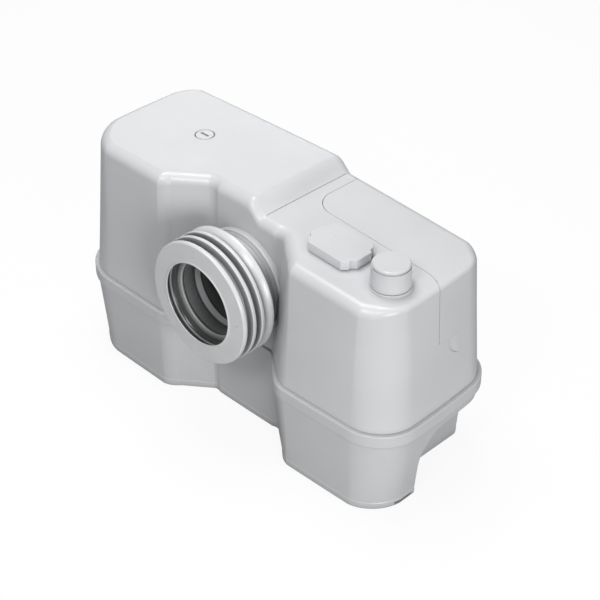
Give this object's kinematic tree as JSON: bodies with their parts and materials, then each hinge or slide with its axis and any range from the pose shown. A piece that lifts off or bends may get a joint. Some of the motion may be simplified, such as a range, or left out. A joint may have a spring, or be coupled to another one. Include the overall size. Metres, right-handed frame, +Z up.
{
  "type": "macerator toilet pump",
  "caption": "Floor-standing macerator pump: grey moulded tank and stepped housing, ribbed rubber inlet sleeve in a front notch, grinder pump under a motor inside.",
  "frame": {"origin": "on the floor, under the axis of the inlet sleeve, in the middle of the body's depth", "axes": "+X along the body towards the low end, -Y out of the inlet towards the toilet pan, +Z up"},
  "size_m": [0.437, 0.1934, 0.2478],
  "materials": {
    "housing_plastic": "fine satin moulded white-grey plastic",
    "tank_plastic": "fine satin moulded light grey plastic",
    "screw_plastic": "satin grey plastic",
    "sleeve_rubber": "soft satin light grey rubber",
    "inlet_plastic": "satin grey plastic",
    "inner_plastic": "plain moulded plastic",
    "pump_plastic": "glass-filled moulded plastic",
    "seal_rubber": "matt black rubber",
    "dark_plastic": "dark moulded plastic",
    "motor_metal": "die-cast aluminium",
    "core_iron": "varnished steel laminations, as iron",
    "steel": "stainless steel",
    "capacitor_plastic": "white plastic can",
    "board_green": "solder-masked board",
    "terminal_plastic": "ivory plastic",
    "carbon_foam": "open carbon foam"
  },
  "bodies": {
    "root": {"upper_housing": "housing_plastic", "lower_tank": "tank_plastic", "inlet_sleeve": "sleeve_rubber", "inlet_elbow": "inlet_plastic", "inlet_nut": "inlet_plastic", "deck_plate": "inner_plastic", "riser_pipe": "inner_plastic", "outlet_stub": "inner_plastic", "dip_tube": "inner_plastic", "valve_body": "pump_plastic", "pump_volute": "pump_plastic", "suction_cover": "pump_plastic", "tank_gasket": "seal_rubber", "shaft_seal": "seal_rubber", "switch_diaphragm": "seal_rubber", "cable_grommet": "seal_rubber", "foot_pads": "seal_rubber", "switch_body": "dark_plastic", "microswitch": "dark_plastic", "capacitor_clip": "dark_plastic", "motor_shell": "motor_metal", "motor_cover": "motor_metal", "motor_flange": "motor_metal", "stator": "core_iron", "upper_bearing": "steel", "lower_bearing": "steel", "cutter_ring": "steel", "valve_pin": "steel", "motor_screws": "steel", "suction_screws": "steel", "board_screws": "steel", "capacitor": "capacitor_plastic", "control_board": "board_green", "terminal_block": "terminal_plastic", "carbon_filter": "carbon_foam"},
    "rotor": {"rotor_core": "core_iron", "motor_shaft": "steel", "impeller": "pump_plastic", "cutter_blade": "steel", "cutter_nut": "steel"},
    "flap": {"valve_flap": "seal_rubber"},
    "plunger": {"switch_plunger": "inner_plastic"},
    "filter_lid": {"filter_cap": "housing_plastic"},
    "outlet_lid": {"outlet_cap": "housing_plastic"},
    "cover": {"service_cover": "housing_plastic"},
    "screw": {"cover_screw": "screw_plastic"}
  },
  "joints": [
    {"name": "rotor_spin", "type": "hinge", "parent": "root", "child": "rotor", "pos_m": [0.118, 0.0265, 0.09], "axis": [0, 0, 1], "continuous": true},
    {"name": "valve_swing", "type": "hinge", "parent": "root", "child": "flap", "pos_m": [0.1708, -0.029, 0.1061], "axis": [0, 1, 0], "range_deg": [0, 70]},
    {"name": "switch_press", "type": "slide", "parent": "root", "child": "plunger", "axis": [0, 0, 1], "range_m": [0, 0.002]},
    {"name": "filter_cap_lift", "type": "slide", "parent": "root", "child": "filter_lid", "axis": [0.0576, 0, 0.9983], "range_m": [0, 0.03]},
    {"name": "outlet_cap_lift", "type": "slide", "parent": "root", "child": "outlet_lid", "axis": [0, 0, 1], "range_m": [0, 0.04]},
    {"name": "cover_lift", "type": "slide", "parent": "root", "child": "cover", "axis": [0, 0, 1], "range_m": [0, 0.08]},
    {"name": "screw_turn", "type": "hinge", "parent": "root", "child": "screw", "pos_m": [-0.115, 0.0105, 0.24], "axis": [0, 0, 1], "range_deg": [0, 90]}
  ]
}
